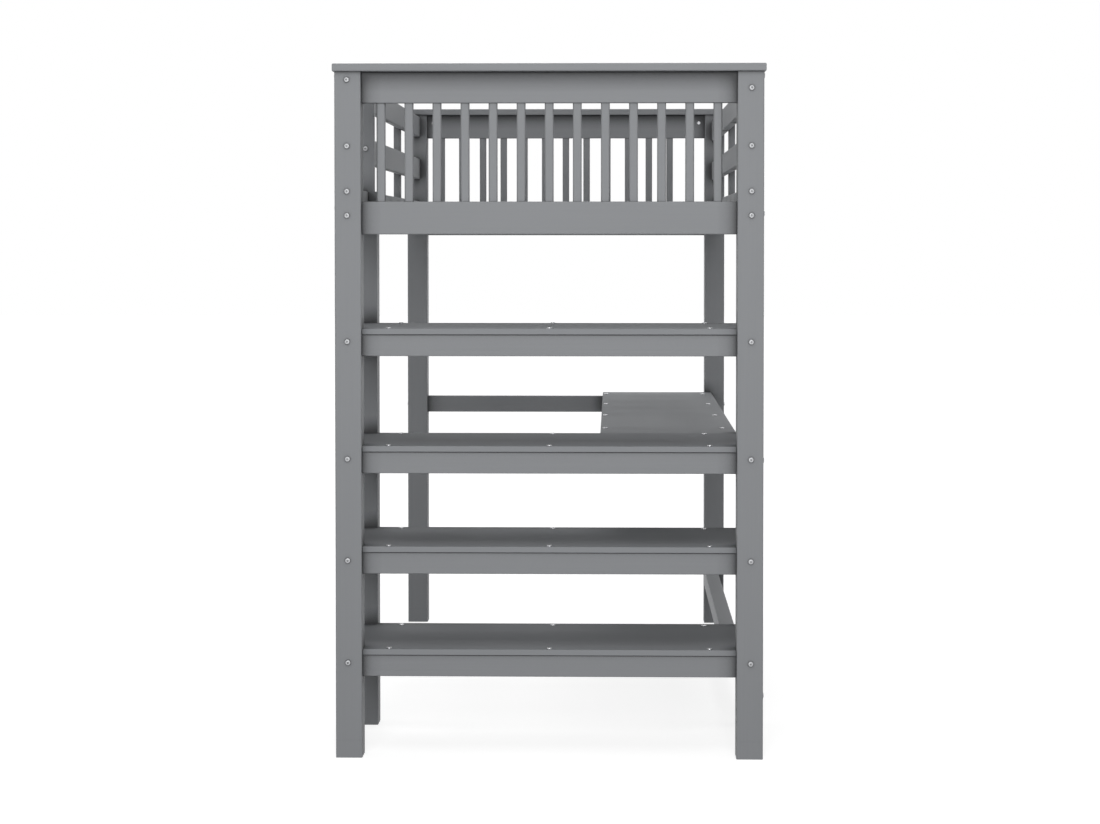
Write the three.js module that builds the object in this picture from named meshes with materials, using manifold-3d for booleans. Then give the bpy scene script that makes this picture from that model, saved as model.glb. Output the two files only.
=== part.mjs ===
// Loft bed for a twin mattress: a raised bed frame on six posts, closed at both ends by spindle
// panels and along both sides by guard boards, with four shelves under the foot end and a desk
// under the rest. Painted softwood, butted and bolted together. Nothing on it moves.
//
// Millimetres, +Z up. The origin is on the floor under the middle of the bed. The shelves are at
// the -Y end, the desk is on the +X side, and the way in is over the shelves on the -X side.

import * as THREE from "three";
import { mergeVertices } from "three/addons/utils/BufferGeometryUtils.js";
import Module from "manifold-3d";

const wasm = await Module();
wasm.setup();

// Overall size, over the outer faces of the four corner posts.
const bedWidth = 1067;
const bedLength = 2019;
const postHeight = 1713;

// Timber sections.
const postWidth = 66;
const postDepth = 62;
const postEase = 3;
const boardThick = 20;
const boardEase = 2;
const jointGap = 0.3;

// Caps that close the two ends along their tops.
const capThick = 20;
const capSideOverhang = 5;
const capEndOverhang = 6;
const capEase = 3;

// End panels: top rail, lower rail and the spindles between them.
const topRailHeight = 77;
const spindleLength = 245;
const lowerRailHeight = 82;
const spindleWidth = 22;
const spindleThick = 16;
const spindleEase = 4;
const spindlePitch = 70;
const tenonWidth = 12;
const tenonThick = 8;
const tenonLength = 14;

// Side rails, which lie a step higher than the lower end rails, and the slats that carry the
// mattress between them.
const sideRailStep = 32;
const sideRailHeight = 82;
const ledgerWidth = 22;
const ledgerHeight = 22;
const slatWidth = 95;
const slatThick = 15;
const slatEase = 2;
const slatEndGap = 2.5;
const footBaySlats = 2;
const headBaySlats = 7;

// Middle posts, behind the shelves: one beside the way in, and one that only carries the shelves
// and reaches in past the side rail by its lap.
const middlePostSetback = 373.5;
const shelfPostLap = 1;

// Guard boards from the side rail up: the gap under each one, and its height.
const leftGuards = [[75, 67], [75, 66]];
const rightGuards = [[71, 60], [71.5, 64]];
const battenWidth = 66;
const battenThick = 18;
const leftBattens = [969, 1470];
const rightBattens = [772, 1247];
const stileWidth = 50;
const stileThick = 31;

// Upper faces of the desk and of the two shelves under its level. One shelf is level with the
// desk, and the top one lies a little under the middle of the space from there to the bed.
const deskTop = 780.5;
const lowShelfTops = [528.5, 270.5];
const topShelfDrop = 5.25;
const shelfBoardThick = 15;
const shelfBoardEase = 1.5;
const shelfRailHeight = 54;
const shelfFrontSetback = 15;
const shelfRailSetback = 3;
const shelfBackOverhang = 18.5;
const notchGap = 0.5;

// Desk: its inner edge, the overhang past its inner rail, and its outer edge's gap to the post.
const deskInnerEdge = 125.5;
const deskRailInset = 4.5;
const deskPostGap = 0.5;

// Low stretcher that ties the shelf post to the head end on the desk side.
const stretcherWidth = 44;
const stretcherHeight = 54;
const stretcherTop = 180;

// Planes that several pieces share. Lengthwise places are worked out from the foot end.
const outerX = bedWidth / 2;
const innerX = outerX - postWidth;
const railX = outerX - postWidth / 2;
const foot = -bedLength / 2;
const head = bedLength / 2;
const footBayStart = foot + postDepth;
const footBayEnd = foot + middlePostSetback;
const headBayStart = footBayEnd + postDepth;
const headBayEnd = head - postDepth;
const topRailBottom = postHeight - topRailHeight;
const lowerRailTop = topRailBottom - spindleLength;
const lowerRailBottom = lowerRailTop - lowerRailHeight;
const sideRailTop = lowerRailTop + sideRailStep;
const sideRailBottom = sideRailTop - sideRailHeight;
const slatBottom = sideRailBottom + ledgerHeight;
const railInnerX = railX - boardThick / 2;
const railOuterX = railX + boardThick / 2;
const shelfPostInnerX = railInnerX - shelfPostLap;
const shelfFront = foot + shelfFrontSetback;
const shelfRailFront = shelfFront + shelfRailSetback;
const shelfRailBack = shelfRailFront + boardThick;
const shelfBack = footBayEnd + shelfBackOverhang;
const shelfDepth = shelfBoardThick + shelfRailHeight;
const topShelfTop = (deskTop + lowerRailBottom + shelfDepth) / 2 - topShelfDrop;
const shelfTops = [topShelfTop, deskTop, ...lowShelfTops];
const deskRailOuterX = innerX;
const deskRailInnerX = deskRailOuterX - boardThick;
const endRailFront = (postDepth - boardThick) / 2;
const deskEnd = head - endRailFront - boardThick;

// Pieces that touch share a face exactly, so every face is set to a 64th of a millimetre, which
// 32-bit numbers hold without rounding.
const snap = (value) => Math.round(value * 64) / 64;

// Each piece has its own coat of the same satin grey paint.
const paint = (color = 0x8e9093) =>
  new THREE.MeshStandardMaterial({ color, roughness: 0.55, metalness: 0 });

// For each direction of the grain: the axes of the section, and the turn that lays a section
// drawn in XY and drawn out along Z in that direction.
const grain = {
  x: { across: ["y", "z"], turn: [Math.PI / 2, Math.PI / 2, 0] },
  y: { across: ["x", "z"], turn: [-Math.PI / 2, 0, 0] },
  z: { across: ["x", "y"], turn: [0, 0, 0] },
};

// Section of planed timber: a rectangle whose corners are rounded to the radius ease.
function easedSection(width, height, ease) {
  const x = width / 2 - ease;
  const y = height / 2 - ease;
  const quarter = Math.PI / 2;
  const section = new THREE.Shape();
  section.absarc(x, -y, ease, -quarter, 0);
  section.absarc(x, y, ease, 0, quarter);
  section.absarc(-x, y, ease, quarter, 2 * quarter);
  section.absarc(-x, -y, ease, 2 * quarter, 3 * quarter);
  return section;
}

// A length of timber that fills the spans x, y and z, with its grain and its eased edges along
// one of them.
function timber(name, along, x, y, z, ease = boardEase) {
  const low = new THREE.Vector3(snap(x[0]), snap(y[0]), snap(z[0]));
  const high = new THREE.Vector3(snap(x[1]), snap(y[1]), snap(z[1]));
  const size = high.clone().sub(low);
  const { across, turn } = grain[along];
  const section = easedSection(size[across[0]], size[across[1]], ease);
  const geometry = new THREE.ExtrudeGeometry(section, {
    depth: size[along],
    curveSegments: 2,
    bevelEnabled: false,
  });
  geometry.translate(0, 0, -size[along] / 2);
  const mesh = new THREE.Mesh(geometry, paint());
  mesh.name = name;
  mesh.rotation.set(...turn);
  mesh.position.addVectors(low, high).divideScalar(2);
  return mesh;
}

// A board sawn to the outline, given as points of its plan, with its upper and lower edges
// rounded to the radius ease.
function sawnBoard(name, outline, bottom, thick, ease) {
  const plan = new THREE.Shape(outline.map(([x, y]) => new THREE.Vector2(snap(x), snap(y))));
  const depth = snap(thick) - 2 * ease;
  const geometry = new THREE.ExtrudeGeometry(plan, {
    depth,
    bevelThickness: ease,
    bevelSize: ease,
    bevelOffset: -ease,
    bevelSegments: 2,
  });
  const mesh = new THREE.Mesh(geometry, paint());
  mesh.name = name;
  mesh.position.z = snap(bottom) + ease;
  return mesh;
}

// A closed solid of a mesh as it is placed in its group.
function toSolid(mesh) {
  mesh.updateMatrix();
  const placed = new THREE.BufferGeometry();
  placed.setAttribute("position", mesh.geometry.getAttribute("position"));
  const { index, attributes } = mergeVertices(placed.clone().applyMatrix4(mesh.matrix), 1e-3);
  return new wasm.Manifold(
    new wasm.Mesh({
      numProp: 3,
      vertProperties: new Float32Array(attributes.position.array),
      triVerts: new Uint32Array(index.array),
    }),
  );
}

// Gives a mesh a new solid, which is already placed in the mesh's group.
function useSolid(mesh, solid) {
  const { vertProperties, triVerts } = solid.getMesh();
  const geometry = new THREE.BufferGeometry();
  geometry.setAttribute("position", new THREE.BufferAttribute(vertProperties, 3));
  geometry.setIndex(new THREE.BufferAttribute(triVerts, 1));
  geometry.translate(-mesh.position.x, -mesh.position.y, -mesh.position.z);
  mesh.geometry = geometry.toNonIndexed();
  mesh.geometry.computeVertexNormals();
  mesh.rotation.set(0, 0, 0);
  return mesh;
}

// A square-edged block for cutting sockets and slots.
function cutter(x, y, z) {
  const block = new THREE.BoxGeometry(x[1] - x[0], y[1] - y[0], z[1] - z[0]);
  const mesh = new THREE.Mesh(block.toNonIndexed());
  mesh.position.set((x[0] + x[1]) / 2, (y[0] + y[1]) / 2, (z[0] + z[1]) / 2);
  return mesh;
}

const joined = (mesh, others) =>
  useSolid(mesh, others.reduce((solid, other) => solid.add(toSolid(other)), toSolid(mesh)));

const hollowed = (mesh, others) =>
  useSolid(mesh, others.reduce((solid, other) => solid.subtract(toSolid(other)), toSolid(mesh)));

const bed = new THREE.Group();

// The span from a to b on the side of the bed given by side, which is -1 on the left (-X) and
// 1 on the right (+X).
const onSide = (side, a, b) => (side < 0 ? [-b, -a] : [a, b]);

const sides = { left: -1, right: 1 };
const ends = { foot: -1, head: 1 };

// Corner posts, which run from the floor to the caps.
const posts = new THREE.Group();
for (const [end, endSign] of Object.entries(ends)) {
  for (const [side, sideSign] of Object.entries(sides)) {
    posts.add(
      timber(
        `post_${end}_${side}`,
        "z",
        onSide(sideSign, innerX, outerX),
        onSide(endSign, head - postDepth, head),
        [0, postHeight],
        postEase,
      ),
    );
  }
}

// The post beside the way in is slotted at its top, and the left side rail lies in the slot.
posts.add(
  hollowed(
    timber(
      "post_entry",
      "z",
      [-outerX, -innerX],
      [footBayEnd, headBayStart],
      [0, sideRailTop],
      postEase,
    ),
    [
      cutter(
        [-railOuterX - jointGap, -railInnerX + jointGap],
        [footBayEnd - 1, headBayStart + 1],
        [snap(sideRailBottom), sideRailTop + 1],
      ),
    ],
  ),
);

// The narrower post on the right ends under the right side rail.
posts.add(
  timber(
    "post_shelf",
    "z",
    [shelfPostInnerX, outerX],
    [footBayEnd, headBayStart],
    [0, sideRailBottom],
    postEase,
  ),
);
bed.add(posts);

// Spindles of one end panel stand at the pitch on both sides of the middle, as many as leave at
// least half a pitch beside the posts.
const spindleCount = Math.floor((2 * innerX) / spindlePitch);
const spindleX = Array.from(
  { length: spindleCount },
  (_, i) => (i - (spindleCount - 1) / 2) * spindlePitch,
);

// A span of the given size around a middle.
const around = (middle, size) => [middle - size / 2, middle + size / 2];

// An end panel drawn around Y = 0. Each spindle is glued into the lower rail. Its shoulder stops
// under the top rail, and its tenon goes on into a socket there.
function endPanel(end) {
  const panel = new THREE.Group();
  const railY = around(0, boardThick);
  const topRail = timber(
    `end_top_rail_${end}`,
    "x",
    [-innerX, innerX],
    railY,
    [topRailBottom, postHeight],
  );
  const sockets = spindleX.map((x) =>
    cutter(
      around(x, tenonWidth + 2 * jointGap),
      around(0, tenonThick + 2 * jointGap),
      [topRailBottom - 1, topRailBottom + tenonLength + 1],
    ),
  );
  const lowerRail = timber(
    `spindle_panel_${end}`,
    "x",
    [-innerX, innerX],
    railY,
    [lowerRailBottom, lowerRailTop],
  );
  const spindles = spindleX.flatMap((x) => [
    timber(
      "",
      "z",
      around(x, spindleWidth),
      around(0, spindleThick),
      [lowerRailTop - boardEase, topRailBottom],
      spindleEase,
    ),
    cutter(
      around(x, tenonWidth),
      around(0, tenonThick),
      [lowerRailTop - tenonLength, topRailBottom + tenonLength],
    ),
  ]);
  panel.add(hollowed(topRail, sockets), joined(lowerRail, spindles));
  return panel;
}

// A cap lies on the two posts and the top rail of one end, and stands out all round them.
function endCap(end) {
  const x = outerX + capSideOverhang;
  const y = postDepth / 2 + capEndOverhang;
  const outline = [[-x, -y], [x, -y], [x, y], [-x, y]];
  return sawnBoard(`cap_${end}`, outline, postHeight, capThick, capEase);
}

for (const [end, endSign] of Object.entries(ends)) {
  const endGroup = new THREE.Group();
  endGroup.position.y = snap(endSign * (head - postDepth / 2));
  endGroup.add(endPanel(end), endCap(end));
  bed.add(endGroup);
}

// Side rails run between the corner posts, in the middle of their width. Ledgers on their inner
// faces carry the slats, and the left one is in two lengths, because the entry post's inner
// cheek comes between them.
const deck = new THREE.Group();
for (const [side, sideSign] of Object.entries(sides)) {
  deck.add(
    timber(
      `side_rail_${side}`,
      "y",
      onSide(sideSign, railInnerX, railOuterX),
      [footBayStart, headBayEnd],
      [sideRailBottom, sideRailTop],
    ),
  );
}
const ledgers = {
  ledger_right: [1, footBayStart, headBayEnd],
  ledger_left_foot: [-1, footBayStart, footBayEnd],
  ledger_left_head: [-1, headBayStart, headBayEnd],
};
for (const [name, [sideSign, start, end]] of Object.entries(ledgers)) {
  deck.add(
    timber(
      name,
      "y",
      onSide(sideSign, railInnerX - ledgerWidth, railInnerX),
      [start, end],
      [sideRailBottom, slatBottom],
    ),
  );
}

// Slats are spread evenly over the bay on each side of the entry post.
function slatBay(name, start, end, count) {
  const pitch = (end - start) / count;
  const reach = railInnerX - slatEndGap;
  return Array.from({ length: count }, (_, i) =>
    timber(
      `${name}_${i + 1}`,
      "x",
      [-reach, reach],
      around(start + (i + 0.5) * pitch, slatWidth),
      [slatBottom, slatBottom + slatThick],
      slatEase,
    ),
  );
}
deck.add(
  ...slatBay("slat_foot", footBayStart, footBayEnd, footBaySlats),
  ...slatBay("slat_head", headBayStart, headBayEnd, headBaySlats),
);
bed.add(deck);

// Guard boards stand over the side rails in the same plane. Battens cross their outer faces, and
// reach down over the side rail.
const guardTop = (boards) => boards.reduce((z, [gap, height]) => z + gap + height, sideRailTop);

function guardSide(side, boards, battens, start) {
  const sign = sides[side];
  const meshes = boards.map(([, height], i) => {
    const top = guardTop(boards.slice(0, i + 1));
    return timber(
      `guard_${side}_${i ? "upper" : "lower"}`,
      "y",
      onSide(sign, railInnerX, railOuterX),
      [start, headBayEnd],
      [top - height, top],
    );
  });
  battens.forEach((middle, i) =>
    meshes.push(
      timber(
        `guard_batten_${side}_${i + 1}`,
        "z",
        onSide(sign, railOuterX, railOuterX + battenThick),
        around(foot + middle, battenWidth),
        [sideRailBottom, guardTop(boards)],
      ),
    ),
  );
  return meshes;
}

// On the left the boards stop at a stile, which stands on the entry post and leaves the foot bay
// open as the way in.
const guards = new THREE.Group();
const stileBack = footBayEnd + stileThick;
guards.add(
  ...guardSide("left", leftGuards, leftBattens, stileBack),
  ...guardSide("right", rightGuards, rightBattens, footBayStart),
  timber(
    "guard_stile_entry",
    "z",
    around(-railX, stileWidth),
    [footBayEnd, stileBack],
    [sideRailTop, guardTop(leftGuards)],
  ),
);
bed.add(guards);

// Plan of a shelf board, which is notched round the corner posts at the front and round the
// middle posts at the back.
const frontNotchX = innerX - notchGap;
const frontNotchY = footBayStart + notchGap;
const backNotchY = footBayEnd - notchGap;
const shelfRightNotchX = shelfPostInnerX - notchGap;
const shelfPlan = [
  [-frontNotchX, shelfFront],
  [frontNotchX, shelfFront],
  [frontNotchX, frontNotchY],
  [railOuterX, frontNotchY],
  [railOuterX, backNotchY],
  [shelfRightNotchX, backNotchY],
  [shelfRightNotchX, shelfBack],
  [-frontNotchX, shelfBack],
  [-frontNotchX, backNotchY],
  [-railOuterX, backNotchY],
  [-railOuterX, frontNotchY],
  [-frontNotchX, frontNotchY],
];

// A shelf drawn below Z = 0, its upper face: the board, the rails under its front and back edges
// and a bearer at each side. On the left the bearers are the steps of the way up. The desk shelf's
// back rail stops at the desk's outer rail.
function shelf(name, backRailEnd) {
  const level = new THREE.Group();
  const z = [-shelfDepth, -shelfBoardThick];
  level.add(
    sawnBoard(`${name}_board`, shelfPlan, -shelfBoardThick, shelfBoardThick, shelfBoardEase),
    timber(`${name}_front_rail`, "x", [-innerX, innerX], [shelfRailFront, shelfRailBack], z),
    timber(
      `${name}_back_rail`,
      "x",
      [-railInnerX, backRailEnd],
      [footBayEnd - boardThick, footBayEnd],
      z,
    ),
  );
  for (const [side, sideSign] of Object.entries(sides)) {
    level.add(
      timber(
        `${name}_bearer_${side}`,
        "y",
        onSide(sideSign, railInnerX, railOuterX),
        [footBayStart, footBayEnd],
        z,
      ),
    );
  }
  return level;
}

shelfTops.forEach((top, i) => {
  const level = shelf(`shelf_${i + 1}`, top === deskTop ? deskRailInnerX : railInnerX);
  level.position.z = snap(top);
  bed.add(level);
});

// The desk's top lies on two long rails. The inner one starts at the shelf's back rail, the outer
// one at its front rail, and both end at a stretcher between the head posts.
const desk = new THREE.Group();
desk.position.z = snap(deskTop);
const deskRailZ = [-shelfDepth, -shelfBoardThick];
const deskInnerRailX = deskInnerEdge + deskRailInset;
const deskOuterEdge = shelfPostInnerX - deskPostGap;
desk.add(
  sawnBoard(
    "desk_top",
    [
      [deskInnerEdge, shelfBack + notchGap],
      [deskOuterEdge, shelfBack + notchGap],
      [deskOuterEdge, headBayEnd - notchGap],
      [deskInnerEdge, headBayEnd - notchGap],
    ],
    -shelfBoardThick,
    shelfBoardThick,
    shelfBoardEase,
  ),
  timber(
    "desk_rail_inner",
    "y",
    [deskInnerRailX, deskInnerRailX + boardThick],
    [footBayEnd, deskEnd],
    deskRailZ,
  ),
  timber(
    "desk_rail_outer",
    "y",
    [deskRailInnerX, deskRailOuterX],
    [shelfRailBack, deskEnd],
    deskRailZ,
  ),
  timber(
    "desk_stretcher_head",
    "x",
    [-innerX, innerX],
    [deskEnd, deskEnd + boardThick],
    deskRailZ,
  ),
);
bed.add(desk);

bed.add(
  timber(
    "low_stretcher",
    "y",
    [innerX, innerX + stretcherWidth],
    [headBayStart, headBayEnd],
    [stretcherTop - stretcherHeight, stretcherTop],
  ),
);

export default bed;
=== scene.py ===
import math

import bpy
import numpy as np
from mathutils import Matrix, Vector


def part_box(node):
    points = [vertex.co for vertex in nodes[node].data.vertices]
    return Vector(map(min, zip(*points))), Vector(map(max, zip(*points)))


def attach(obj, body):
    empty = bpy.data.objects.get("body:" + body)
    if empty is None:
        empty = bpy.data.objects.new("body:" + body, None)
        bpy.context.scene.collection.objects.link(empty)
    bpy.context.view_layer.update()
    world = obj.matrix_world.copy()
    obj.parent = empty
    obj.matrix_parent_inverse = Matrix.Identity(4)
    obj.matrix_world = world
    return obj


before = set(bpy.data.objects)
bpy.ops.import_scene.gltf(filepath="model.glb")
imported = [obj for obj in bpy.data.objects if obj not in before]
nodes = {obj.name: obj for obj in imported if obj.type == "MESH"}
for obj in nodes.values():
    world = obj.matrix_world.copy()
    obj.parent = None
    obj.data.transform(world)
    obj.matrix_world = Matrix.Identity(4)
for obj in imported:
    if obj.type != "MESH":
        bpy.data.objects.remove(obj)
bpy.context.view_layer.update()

# Posts: planed pine, 62 mm deep and 66 mm wide, or 44 mm for the shelf post, sanded and sprayed with
# satin grey paint. Four run from the floor to the caps, the entry post stops under the guard's stile,
# and the shelf post under the side rail. The grain shows through the coat as faint upright streaks.

PAINT = "#8F9194"
AXES = {"x": 0, "y": 1, "z": 2}
MM_IN_METRE = 1000
PIECE_SHIFT = 40.0
NOISE_LOW, NOISE_HIGH = 0.3, 0.7
CLOUD_SHADE = 0.015
SHEEN_CHANGE = 0.04
EDGE_ROUND = 0.0022
EDGE_TURN, EDGE_HIGHLIGHT = 0.85, 1.05
CORNER_REACH, LEAST_OPEN, DARKEST_PAINTED_SHADE = 0.05, 0.6, 0.2
FOOT_LOW, FOOT_HIGH = 0.04, 0.07
SAWN_START, SAWN_END, SAWN_DULL = 0.9, 0.98, 0.15
PEEL_DEPTH = 0.00003


def linear(code):
    """The linear colour of an sRGB hex code: c / 12.92 below 0.04045, else ((c + 0.055) / 1.055) ** 2.4."""
    srgb = [int(code[i:i + 2], 16) / 255 for i in (1, 3, 5)]
    return [c / 12.92 if c <= 0.04045 else ((c + 0.055) / 1.055) ** 2.4 for c in srgb]


def join(node, links):
    """Joins the node's inputs to other nodes: to a node's first output, or to the output that is given."""
    for name, source in links.items():
        output = source if isinstance(source, bpy.types.NodeSocket) else source.outputs[0]
        node.id_data.links.new(output, node.inputs[name])


def add_node(tree, kind, values=None, links=None, **settings):
    """A new shader node of the kind, with its own settings. values gives its inputs fixed values, and
    links joins its inputs to other nodes."""
    node = tree.nodes.new("ShaderNode" + kind)
    for name, value in settings.items():
        setattr(node, name, value)
    for name, value in (values or {}).items():
        node.inputs[name].default_value = value
    join(node, links or {})
    return node


def new_material(name):
    """An empty material of that name, its node tree and its Principled shader."""
    material = bpy.data.materials.new(name)
    material.use_nodes = True
    return material, material.node_tree, material.node_tree.nodes["Principled BSDF"]


def pattern(tree, along, across_mm, along_mm, detail, distortion=0.0):
    """A pattern of soft cells from 0 to 1, across_mm wide and along_mm long. It reads Object coordinates,
    moved by a number that is different for each piece, so that no two pieces share their grain."""
    scale = [MM_IN_METRE / across_mm] * 3
    scale[AXES[along]] = MM_IN_METRE / along_mm
    place = add_node(tree, "TexCoord")
    piece = add_node(tree, "ObjectInfo")
    cells = add_node(tree, "Mapping", {"Scale": scale}, {"Vector": place.outputs["Object"]})
    apart = add_node(tree, "Math", {1: PIECE_SHIFT}, {0: piece.outputs["Random"]}, operation="MULTIPLY")
    moved = add_node(tree, "VectorMath", None, {0: cells, 1: apart}, operation="ADD")
    return add_node(tree, "TexNoise", {"Scale": 1.0, "Detail": detail, "Distortion": distortion},
                    {"Vector": moved})


def painted_wood(name, along, streak=0.012, relief=0.00006, roughness=0.6, gloss=0.35, end_shade=0.95,
                 rounding=EDGE_ROUND, corner=DARKEST_PAINTED_SHADE):
    """Satin spray paint on planed wood, whose grain runs along one axis. It reads as one soft grey.
    Growth rings about 5 mm apart and clouds about 160 mm wide make the colour darker and lighter. A
    painted highlight makes it paler on rounded edges, and painted shade makes it darker, down to the
    share corner, in the corners that ambient occlusion finds shut in (but not at the feet). The faces
    across the grain are duller, and darker or paler by end_shade. The bump is the rings' relief and the
    fine orange peel of the spray."""
    material, tree, shader = new_material(name)
    shader.inputs["Specular IOR Level"].default_value = gloss
    rings = pattern(tree, along, across_mm=5, along_mm=260, detail=4.0, distortion=0.4)
    clouds = pattern(tree, along, across_mm=160, along_mm=420, detail=2.0)
    peel = pattern(tree, along, across_mm=2.2, along_mm=2.6, detail=2.0)

    surface = add_node(tree, "NewGeometry")
    rounded = add_node(tree, "Bevel", {"Radius": rounding}, samples=4)
    turn = add_node(tree, "VectorMath", None, {0: rounded, 1: surface.outputs["True Normal"]},
                    operation="DOT_PRODUCT")
    # Painted highlight: the colour is made paler on rounded edges, where the rounded normal turns from the
    # true one.
    edge_highlight = add_node(tree, "MapRange", {"From Min": EDGE_TURN, "To Min": EDGE_HIGHLIGHT},
                    {"Value": turn.outputs["Value"]})

    # Painted shade: ambient occlusion darkens the colour in corners, down to the share corner, but not near
    # the floor.
    openness = add_node(tree, "AmbientOcclusion", {"Distance": CORNER_REACH}, samples=8)
    painted_shade = add_node(tree, "MapRange", {"From Min": LEAST_OPEN, "To Min": corner},
                       {"Value": openness.outputs["AO"]})
    place = add_node(tree, "TexCoord")
    height = add_node(tree, "SeparateXYZ", None, {0: place.outputs["Object"]})
    foot = add_node(tree, "MapRange", {"From Min": FOOT_LOW, "From Max": FOOT_HIGH, "To Min": 1.0,
                                       "To Max": DARKEST_PAINTED_SHADE}, {"Value": height.outputs["Z"]})
    painted_corner_shade = add_node(tree, "Math", None, {0: painted_shade, 1: foot}, operation="MAXIMUM")

    direction = add_node(tree, "SeparateXYZ", None, {0: surface.outputs["True Normal"]})
    facing = add_node(tree, "Math", None, {0: direction.outputs[AXES[along]]}, operation="ABSOLUTE")
    sawn = add_node(tree, "MapRange", {"From Min": SAWN_START, "From Max": SAWN_END}, {"Value": facing})
    end = add_node(tree, "MapRange", {"To Min": 1.0, "To Max": end_shade}, {"Value": sawn})

    streaks = add_node(tree, "MapRange", {"From Min": NOISE_LOW, "From Max": NOISE_HIGH,
                                          "To Min": 1 - streak, "To Max": 1 + streak}, {"Value": rings})
    cloudy = add_node(tree, "MapRange", {"From Min": NOISE_LOW, "From Max": NOISE_HIGH,
                                         "To Min": 1 - CLOUD_SHADE, "To Max": 1 + CLOUD_SHADE},
                      {"Value": clouds})
    shade = streaks
    for factor in (cloudy, edge_highlight, painted_corner_shade, end):
        shade = add_node(tree, "Math", None, {0: shade, 1: factor}, operation="MULTIPLY")
    colour = add_node(tree, "VectorMath", {0: linear(PAINT)}, {"Scale": shade}, operation="SCALE")

    sheen = add_node(tree, "MapRange", {"From Min": NOISE_LOW, "From Max": NOISE_HIGH,
                                        "To Min": roughness - SHEEN_CHANGE,
                                        "To Max": roughness + SHEEN_CHANGE}, {"Value": clouds})
    dulled = add_node(tree, "Math", {1: SAWN_DULL}, {0: sawn, 2: sheen}, operation="MULTIPLY_ADD")
    raised = add_node(tree, "Bump", {"Strength": 0.5, "Distance": relief},
                      {"Height": rings, "Normal": rounded})
    peeled = add_node(tree, "Bump", {"Strength": 0.4, "Distance": PEEL_DEPTH},
                      {"Height": peel, "Normal": raised})
    join(shader, {"Base Color": colour, "Roughness": dulled, "Normal": peeled})
    return material


def finish_nodes(material, names):
    """Gives the material to the named CAD nodes."""
    for name in names:
        mesh = nodes[name].data
        mesh.materials.clear()
        mesh.materials.append(material)


def named(beginnings, endings=""):
    """The CAD nodes whose names start with one of the beginnings and end with one of the endings."""
    return [name for name in sorted(nodes) if name.startswith(beginnings) and name.endswith(endings)]


upright_paint = painted_wood("satin grey paint sprayed on upright pine", "z")
finish_nodes(upright_paint, named("post_"))

# End panels: pine rails with thirteen spindles, which are glued into the lower rail and stand with
# their tenons in the top rail. A cap of the same pine lies over each end and hides the joints.
# Rails and caps have their grain across the bed, and the spindles' edges are rounded by 4 mm.

crosswise_paint = painted_wood("satin grey paint sprayed on crosswise pine", "x")
finish_nodes(crosswise_paint, named(("cap_", "end_top_rail_")))
panel_paint = painted_wood("satin grey paint sprayed on the spindle panels", "x", streak=0.008,
                           rounding=0.004)
finish_nodes(panel_paint, named("spindle_panel_"))

# Side rails and ledgers: planed pine along the bed. The rails are bolted between the posts, and the
# square ledgers are glued and screwed to their inner faces to carry the slats.

lengthwise_paint = painted_wood("satin grey paint sprayed on lengthwise pine", "y")
finish_nodes(lengthwise_paint, named(("side_rail_", "ledger_")))

# Slats: thin pine boards across the bed, laid on the ledgers and screwed down. They are sprayed once,
# with less sanding, so that their grain stands out more than on the rails.

slat_paint = painted_wood("thin satin grey paint on pine slats", "x", streak=0.03, relief=0.00012,
                          roughness=0.66)
finish_nodes(slat_paint, named("slat_"))

# Guards: two boards along each side, joined by upright battens on their outer faces. On the left
# they end at a stile beside the way in, which stands on the entry post. All are sprayed pine.

finish_nodes(lengthwise_paint, named("guard_", ("_upper", "_lower")))
finish_nodes(upright_paint, named(("guard_batten_", "guard_stile_")))

# Shelves: smooth board 15 mm thick on a frame of four pine rails. The board has no grain to show, and
# its long edges, which face along Y, get a painted light that makes them paler than its flat faces.
# The rails' edges are only just broken. The left bearers are the steps of the way up.

board_paint = painted_wood("satin grey paint sprayed on smooth shelf board", "y", streak=0.003,
                           relief=0.00001, roughness=0.72, gloss=0.1, end_shade=1.17, rounding=0.001,
                           corner=0.5)
shelf_rail_paint = painted_wood("satin grey paint sprayed on the shelves' pine rails", "x",
                                rounding=0.0008)
finish_nodes(board_paint, named("shelf_", "_board"))
finish_nodes(shelf_rail_paint, named("shelf_", "_rail"))
finish_nodes(lengthwise_paint, named("shelf_", ("_bearer_left", "_bearer_right")))

# Desk: the same smooth board along the right side, on two long pine rails. At the foot end it lies
# level with the second shelf, and at the head end a stretcher between the posts carries its rails.
# A low stretcher of the same pine joins the shelf post and the head post near the floor.

desk_paint = painted_wood("satin grey paint sprayed on the smooth desk top", "y", streak=0.003,
                          relief=0.00001, roughness=0.66, gloss=0.25, end_shade=1.0)
finish_nodes(desk_paint, ["desk_top"])
finish_nodes(lengthwise_paint, named(("desk_rail_", "low_stretcher")))
finish_nodes(crosswise_paint, ["desk_stretcher_head"])

# Bolts: zinc-plated steel, cold-forged, with a low button head 13.4 mm across and a hexagon socket.
# They pass through the posts into the ends of the rails, and are the brightest thing on the bed:
# on the posts' sides into the end rails, and on their fronts and backs into the long rails.

AROUND = 32
ANGLE = np.linspace(0, 2 * np.pi, AROUND, endpoint=False)
CROWN_RINGS = 5
RIM = 1.2
SUNK = 0.0003
SHARP_TURN = math.radians(35)
RECESS_REACH = 0.004
PLATING_CHANGE = 0.06
DIE_DEPTH = 0.00004
LEFT, RIGHT, BACK, FRONT, UP = (-1, 0, 0), (1, 0, 0), (0, 1, 0), (0, -1, 0), (0, 0, 1)


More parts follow.
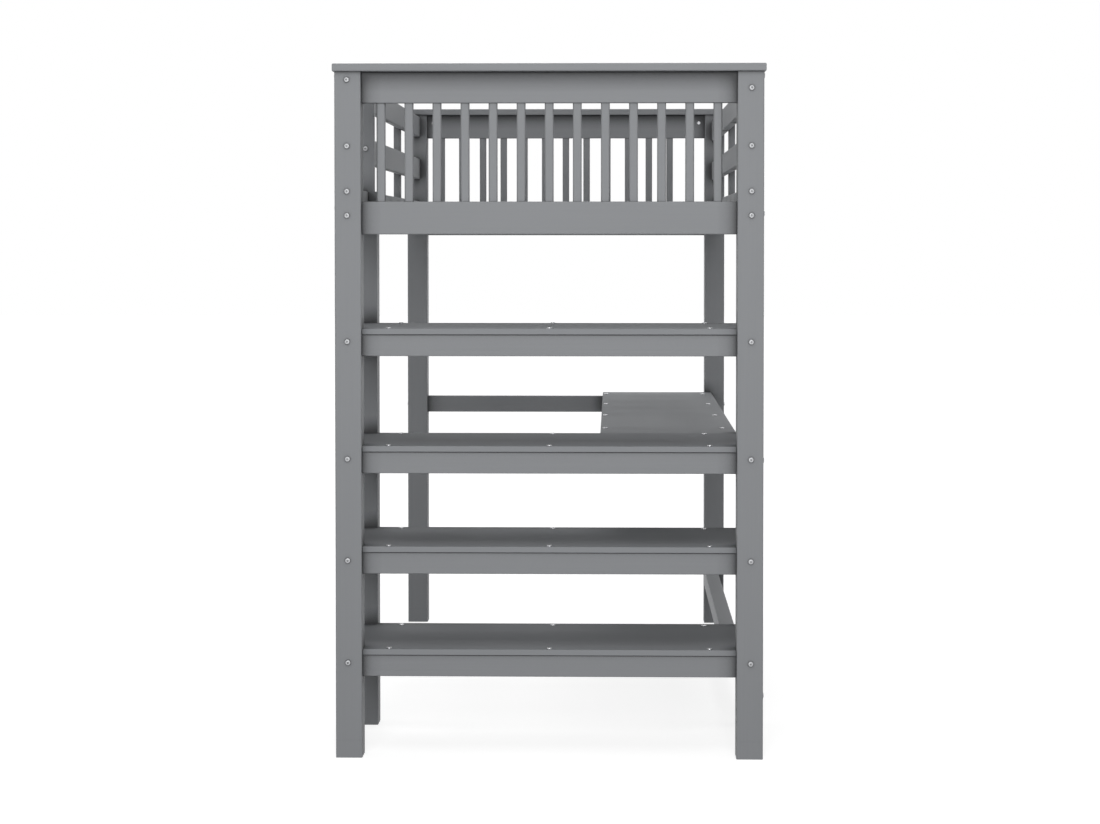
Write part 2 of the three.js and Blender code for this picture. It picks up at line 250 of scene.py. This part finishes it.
def plated_steel(name, code, roughness, dark=0.3, start=0.35, end=0.9):
    """Zinc-plated steel: a metal whose gloss is cloudy, from the passivated plating, over the faint
    marks of the die that pressed it. Both are drawn at 1.5 mm, coarser than the real ones, so that
    they show. Painted shade darkens it, down to the share dark, where what stands near leaves it open
    by start or less, and not at all from end up. It reads as a soft grey glint, not as a mirror."""
    material, tree, shader = new_material(name)
    shader.inputs["Metallic"].default_value = 1.0
    speckle = pattern(tree, "z", across_mm=1.5, along_mm=1.5, detail=3.0)
    # Painted shade: ambient occlusion darkens the colour in sockets, slots and the corners round the rims.
    openness = add_node(tree, "AmbientOcclusion", {"Distance": RECESS_REACH}, samples=8)
    shade = add_node(tree, "MapRange", {"From Min": start, "From Max": end, "To Min": dark},
                     {"Value": openness.outputs["AO"]})
    colour = add_node(tree, "VectorMath", {0: linear(code)}, {"Scale": shade}, operation="SCALE")
    cloudy = add_node(tree, "MapRange", {"From Min": NOISE_LOW, "From Max": NOISE_HIGH,
                                         "To Min": roughness - PLATING_CHANGE,
                                         "To Max": roughness + PLATING_CHANGE}, {"Value": speckle})
    marks = add_node(tree, "Bump", {"Strength": 0.3, "Distance": DIE_DEPTH}, {"Height": speckle})
    join(shader, {"Base Color": colour, "Roughness": cloudy, "Normal": marks})
    return material


def span(name, axis):
    """Where a CAD node starts and where it ends along an axis."""
    low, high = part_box(name)
    return low[AXES[axis]], high[AXES[axis]]


def middle(name, axis):
    """The middle of a CAD node along an axis."""
    return sum(span(name, axis)) / 2


def hexagon(flat):
    """Radii at ANGLE of a hexagon whose flats lie at the distance flat from its middle: flat divided
    by the cosine of the angle from the nearest flat's middle."""
    return flat / np.cos(ANGLE % (np.pi / 3) - np.pi / 6)


def turned_head(radius, height, crown, recess, depth):
    """Rings of a head whose axis is Z. Its wall starts SUNK deep in the wood. Its crown narrows by
    cosine as it rises by sine, to a flat whose rim is RIM times as wide as the recess. recess holds
    the radii of the recess at ANGLE, and depth is how far it goes down. Each ring is its radii times
    cosine and sine of ANGLE, at its level."""
    rise = np.linspace(0, np.pi / 2, CROWN_RINGS)
    rim = recess.max() * RIM
    round_rings = np.concatenate([[radius], rim + (radius - rim) * np.cos(rise)])
    radii = np.vstack([np.outer(round_rings, np.ones(AROUND)), recess, recess])
    levels = np.concatenate([[-SUNK], height - crown + crown * np.sin(rise), [height, height - depth]])
    return np.stack([radii * np.cos(ANGLE), radii * np.sin(ANGLE), np.tile(levels, (AROUND, 1)).T], -1)


def place_heads(name, rings, spots, material):
    """One mesh with a head at each spot. A spot is the point where the head's axis meets the wood, and
    the direction in which the head stands out. The rings are turned from Z to that direction by a
    side across it and the product of both, and moved to the point. Quads join them, and a face closes
    each end."""
    count, around = rings.shape[:2]
    here = np.arange(count * around).reshape(count, around)
    after = np.roll(here, -1, axis=1)
    quads = np.stack([here[:-1], after[:-1], after[1:], here[1:]], -1).reshape(-1, 4)
    point, out = [np.array(column, float) for column in zip(*spots)]
    side = np.cross(np.where(out[:, 2:] == 1, BACK, UP), out)
    turned = np.stack([side, np.cross(out, side), out], 1)
    points = rings.reshape(-1, 3) @ turned + point[:, None]
    first = np.arange(len(spots))[:, None] * here.size
    faces = (quads + first[:, None]).reshape(-1, 4).tolist()
    faces += (here[0, ::-1] + first).tolist() + (here[-1] + first).tolist()
    mesh = bpy.data.meshes.new(name)
    mesh.from_pydata(points.reshape(-1, 3).tolist(), [], faces)
    mesh.polygons.foreach_set("use_smooth", [True] * len(mesh.polygons))
    mesh.set_sharp_from_angle(angle=SHARP_TURN)
    mesh.materials.append(material)
    piece = bpy.data.objects.new(name, mesh)
    bpy.context.scene.collection.objects.link(piece)
    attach(piece, "root")


# Faces and middles of the timber that the bolts pass through.
post_inside, post_outside = span("post_foot_right", "x")
foot_front, foot_back = span("post_foot_right", "y")
head_front, head_back = span("post_head_right", "y")
middle_front, middle_back = span("post_entry", "y")
foot_rails, head_rails = middle("end_top_rail_foot", "y"), middle("end_top_rail_head", "y")
desk_height, low_height = middle("desk_stretcher_head", "z"), middle("low_stretcher", "z")

# How far the rows of bolts stand from the bed's middle, and the bolts' heights above the floor.
ROW, STILE_ROW = 0.5025, 0.4975
LEFT_GUARD, RIGHT_GUARD = (1.693, 1.5285), (1.672, 1.529)
SIDE_RAIL = (1.416, 1.356)
BEARERS = (1.042, 0.749, 0.495, 0.239)
TOP_RAIL_FOOT, TOP_RAIL_HEAD, LOWER_RAIL = 1.704, 1.687, 1.361
SHELF_RAIL = 0.745
FOOT_LEFT_SIDE = (TOP_RAIL_FOOT, 1.416, 1.375)
FOOT_RIGHT_SIDE = (TOP_RAIL_FOOT, LOWER_RAIL, SHELF_RAIL, 0.155)
STILE = (1.537, 1.671)

bolts = []
for x, guard in ((-ROW, LEFT_GUARD), (ROW, RIGHT_GUARD)):
    bolts += [((x, foot_front, z), FRONT) for z in guard + SIDE_RAIL + BEARERS]
    bolts += [((x, head_back, z), BACK) for z in guard + SIDE_RAIL]
    bolts += [((x, middle_back, z), BACK) for z in BEARERS]
bolts += [((-post_outside, foot_rails, z), LEFT) for z in FOOT_LEFT_SIDE]
bolts += [((post_outside, foot_rails, z), RIGHT) for z in FOOT_RIGHT_SIDE]
for x, out in ((-post_outside, LEFT), (post_outside, RIGHT)):
    bolts += [((x, head_rails, z), out) for z in (TOP_RAIL_HEAD, LOWER_RAIL, desk_height)]
bolts += [((-STILE_ROW, middle_front, z), FRONT) for z in STILE]
bolts += [((ROW, head_back, low_height), BACK), ((ROW, middle_front, low_height), FRONT)]
for rail in named("desk_rail_"):
    bolts.append(((middle(rail, "x"), span("desk_stretcher_head", "y")[1], desk_height), BACK))
bolts.append(((middle("desk_rail_inner", "x"), span("shelf_2_back_rail", "y")[0], desk_height), FRONT))

dull_zinc = plated_steel("zinc-plated steel of forged bolt heads", "#A1A2A4", 0.58)
button_head = turned_head(radius=0.0067, height=0.0036, crown=0.0024, recess=hexagon(flat=0.0026),
                          depth=0.0024)
place_heads("bolt_heads", button_head, bolts, dull_zinc)

# Barrel nuts: the ends of plated steel rods 10.5 mm across, which lie crosswise in the rails and take
# the bolts' threads. They fill drilled holes about 20 mm from the posts, and a slot in each end turns
# them. Their turned ends are smoother than the bolt heads.

NUT_INSET = 0.0195
NOT_ZERO = 0.001
end_inside = post_inside - NUT_INSET
near_end, far_end = foot_back + NUT_INSET, head_front - NUT_INSET
rail_inside = span("side_rail_right", "x")[0]


def slit(half_length, half_width):
    """Radii at ANGLE of a slot: half its length over the cosine or half its width over the sine,
    whichever is less. Neither cosine nor sine is taken as less than NOT_ZERO."""
    lengthways = half_length / np.maximum(np.abs(np.cos(ANGLE)), NOT_ZERO)
    sideways = half_width / np.maximum(np.abs(np.sin(ANGLE)), NOT_ZERO)
    return np.minimum(lengthways, sideways)


nuts = []
for x in (-end_inside, end_inside):
    nuts += [((x, span("end_top_rail_foot", "y")[1], z), BACK) for z in (TOP_RAIL_FOOT, LOWER_RAIL)]
    nuts += [((x, span("end_top_rail_head", "y")[0], z), FRONT) for z in (TOP_RAIL_HEAD, LOWER_RAIL)]
    nuts.append(((x, span("desk_stretcher_head", "y")[1], desk_height), BACK))
nuts.append(((end_inside, span("shelf_2_front_rail", "y")[1], SHELF_RAIL), BACK))
for x, inward in ((-rail_inside, RIGHT), (rail_inside, LEFT)):
    nuts += [((x, y, z), inward) for y in (near_end, middle_front - NUT_INSET) for z in BEARERS]
    nuts += [((x, y, SIDE_RAIL[0]), inward) for y in (near_end, far_end)]
left_start = span("guard_left_upper", "y")[0] + NUT_INSET
nuts += [((-rail_inside, y, z), RIGHT) for y in (left_start, far_end) for z in STILE]
nuts += [((rail_inside, y, z), LEFT) for y in (near_end, far_end) for z in RIGHT_GUARD]
low_inside = span("low_stretcher", "x")[0]
nuts += [((low_inside, y, low_height), LEFT) for y in (middle_back + NUT_INSET, far_end)]
for rail in named("desk_rail_"):
    rail_side, rail_end = span(rail, "x")[0], span(rail, "y")[1]
    nuts.append(((rail_side, rail_end - NUT_INSET, desk_height), LEFT))
inner_side, inner_start = span("desk_rail_inner", "x")[0], span("desk_rail_inner", "y")[0]
nuts.append(((inner_side, inner_start + NUT_INSET, desk_height), LEFT))

bright_zinc = plated_steel("zinc-plated steel with a turned face", "#A6A7A9", 0.42)
rod_end = turned_head(radius=0.00525, height=0.0003, crown=0.0002,
                      recess=slit(half_length=0.0035, half_width=0.0007), depth=0.0012)
place_heads("barrel_nuts", rod_end, nuts, bright_zinc)

# Shelf screws: the same plated steel, with low crowned heads 12.4 mm across and 3 mm high. Each shelf
# has two rows of three into its rails, and the desk top two rows of four. Painted shade darkens the
# heads in the corner between head and board, and makes a dark line there.

SHELF_SCREWS = (-0.4025, 0.0, 0.401)
DESK_ROWS = (0.1375, 0.457)
DESK_SCREWS = np.linspace(-0.4685, 0.8475, 4)
screws = []
for number in (1, 2, 3, 4):
    shelf = f"shelf_{number}_"
    rows = middle(shelf + "front_rail", "y"), middle(shelf + "back_rail", "y")
    top = span(shelf + "board", "z")[1]
    screws += [((x, y, top), UP) for x in SHELF_SCREWS for y in rows]
screws += [((x, y, span("desk_top", "z")[1]), UP) for x in DESK_ROWS for y in DESK_SCREWS]

rim_shaded_zinc = plated_steel("zinc-plated steel of shelf screws, waxed round the rims", "#C4C5C7", 0.4,
                          dark=0.05, start=0.68, end=0.76)
crowned_head = turned_head(radius=0.0062, height=0.003, crown=0.001, recess=hexagon(flat=0.002),
                           depth=0.0015)
place_heads("shelf_screws", crowned_head, screws, rim_shaded_zinc)

# Wood screws: plated steel with countersunk heads 7 mm across, driven flush with the wood. They hold
# the slats on the ledgers, the ledgers on the side rails, and the battens on the boards they cross.

SLAT_INSET = 0.01
BATTEN_STEP = 0.016
LEDGER_SCREWS = np.linspace(-0.45, 0.85, 6)
wood_screws = []
for slat in named("slat_"):
    left_end, right_end = span(slat, "x")
    for x in (left_end + SLAT_INSET, right_end - SLAT_INSET):
        wood_screws.append(((x, middle(slat, "y"), span(slat, "z")[1]), UP))
for side, face, out in (("left", 0, LEFT), ("right", 1, RIGHT)):
    for batten in named("guard_batten_" + side):
        for board in named(("side_rail_" + side, "guard_" + side)):
            for step in (-BATTEN_STEP, BATTEN_STEP):
                spot = span(batten, "x")[face], middle(batten, "y") + step, middle(board, "z")
                wood_screws.append((spot, out))
ledger_face, ledger_height = span("ledger_right", "x")[0], middle("ledger_right", "z")
for x, inward in ((-ledger_face, RIGHT), (ledger_face, LEFT)):
    wood_screws += [((x, y, ledger_height), inward) for y in LEDGER_SCREWS]

sunk_head = turned_head(radius=0.0035, height=0.0002, crown=0.0001,
                        recess=slit(half_length=0.0022, half_width=0.0005), depth=0.0012)
place_heads("wood_screws", sunk_head, wood_screws, bright_zinc)

# Studio: a plain pale floor and a white background, lit by eight soft lamps, of which the one in
# front is the strongest. The floor and the world are white to the camera and to reflections only, so
# that little light comes back from them to the bed.

FLOOR_HALF = 30
FLOOR_UNSEEN, FLOOR_SEEN = 0.08, 0.5
NEAR_GLOW, NEAR_REACH, FAR_REACH = 0.78, 1.5, 6.0
WORLD_LIGHT = 0.12


def seen_directly(tree):
    """1 for camera rays and for rays that a glossy or clear surface sends on, else 0."""
    ray = add_node(tree, "LightPath")
    sent = add_node(tree, "Math", None, {0: ray.outputs["Is Camera Ray"], 1: ray.outputs["Is Glossy Ray"]},
                    operation="ADD")
    return add_node(tree, "Math", None, {0: sent, 1: ray.outputs["Is Transmission Ray"]},
                    operation="ADD", use_clamp=True)


def pale_floor():
    """Matt pale paint on a smooth studio floor. To the camera it glows by NEAR_GLOW beside the bed,
    where the lamps' light and the bed's shadow are added to it, and by 1 further off."""
    material, tree, shader = new_material("matt pale paint of the studio floor")
    shader.inputs["Roughness"].default_value = 0.9
    shader.inputs["Specular IOR Level"].default_value = 0.0
    shader.inputs["Emission Color"].default_value = (1, 1, 1, 1)
    colour = add_node(tree, "MapRange", {"To Min": FLOOR_UNSEEN, "To Max": FLOOR_SEEN},
                      {"Value": seen_directly(tree)})
    place = add_node(tree, "TexCoord")
    distance = add_node(tree, "VectorMath", None, {0: place.outputs["Object"]}, operation="LENGTH")
    glow = add_node(tree, "MapRange", {"From Min": NEAR_REACH, "From Max": FAR_REACH, "To Min": NEAR_GLOW},
                    {"Value": distance.outputs["Value"]})
    shown = add_node(tree, "Math", None, {0: glow, 1: seen_directly(tree)}, operation="MULTIPLY")
    join(shader, {"Base Color": colour, "Emission Strength": shown})
    return material


corners = [(-FLOOR_HALF, -FLOOR_HALF, 0), (FLOOR_HALF, -FLOOR_HALF, 0), (FLOOR_HALF, FLOOR_HALF, 0),
           (-FLOOR_HALF, FLOOR_HALF, 0)]
floor_mesh = bpy.data.meshes.new("floor")
floor_mesh.from_pydata(corners, [], [(0, 1, 2, 3)])
floor_mesh.materials.append(pale_floor())
floor = bpy.data.objects.new("floor", floor_mesh)
bpy.context.scene.collection.objects.link(floor)

world = bpy.data.worlds.new("studio")
world.use_nodes = True
bpy.context.scene.world = world
background = world.node_tree.nodes["Background"]
background.inputs["Color"].default_value = (1, 1, 1, 1)
strength = add_node(world.node_tree, "MapRange", {"To Min": WORLD_LIGHT},
                    {"Value": seen_directly(world.node_tree)})
join(background, {"Strength": strength})


def softbox(name, place, aim, size, power):
    """A square lamp that faces the point aim."""
    lamp = bpy.data.lights.new(name, "AREA")
    lamp.size = size
    lamp.energy = power
    piece = bpy.data.objects.new(name, lamp)
    bpy.context.scene.collection.objects.link(piece)
    piece.location = place
    away = np.array(aim, float) - np.array(place, float)
    level = np.hypot(away[0], away[1])
    piece.rotation_euler = (math.atan2(level, -away[2]), 0, -math.atan2(away[0], away[1]))


softbox("front softbox", (0, -5.5, 1.7), aim=(0, 0, 1.1), size=3.0, power=146)
softbox("overhead front softbox", (0, -2.5, 4.5), aim=(0, 0, 0), size=2.5, power=34)
softbox("overhead rear softbox", (0, 2.0, 4.5), aim=(0, 0, 0.8), size=2.5, power=78)
softbox("left softbox", (-4.5, 0, 1.0), aim=(0, 0, 0.8), size=1.8, power=48)
softbox("right softbox", (4.5, 0, 1.0), aim=(0, 0, 0.8), size=1.8, power=25)
softbox("right front softbox", (4.2, -2.0, 1.0), aim=(0, 0, 0.8), size=1.8, power=6)
softbox("left rear softbox", (-3.7, 4.2, 1.1), aim=(0, 0, 1.0), size=2.0, power=40)
softbox("right rear softbox", (3.7, 4.2, 1.1), aim=(0, 0, 1.0), size=2.0, power=40)

# Camera: in front of the shelf end, 1.3 m above the floor, turned a little to the left and tilted a
# little down. The small shifts only place the bed in the picture.

CAMERA_PLACE = (0.1589, -6.4921, 1.3013)
TILT_DOWN, TURN_LEFT = 0.0267, 0.0206
camera_data = bpy.data.cameras.new("camera")
camera_data.sensor_fit = "HORIZONTAL"
camera_data.sensor_width = 36
camera_data.lens = 72.286
camera_data.shift_x = -0.0158
camera_data.shift_y = -0.105
camera = bpy.data.objects.new("camera", camera_data)
camera.location = CAMERA_PLACE
camera.rotation_euler = (math.pi / 2 - TILT_DOWN, 0, TURN_LEFT)
bpy.context.scene.collection.objects.link(camera)
bpy.context.scene.camera = camera
bpy.context.scene.view_settings.view_transform = "Standard"
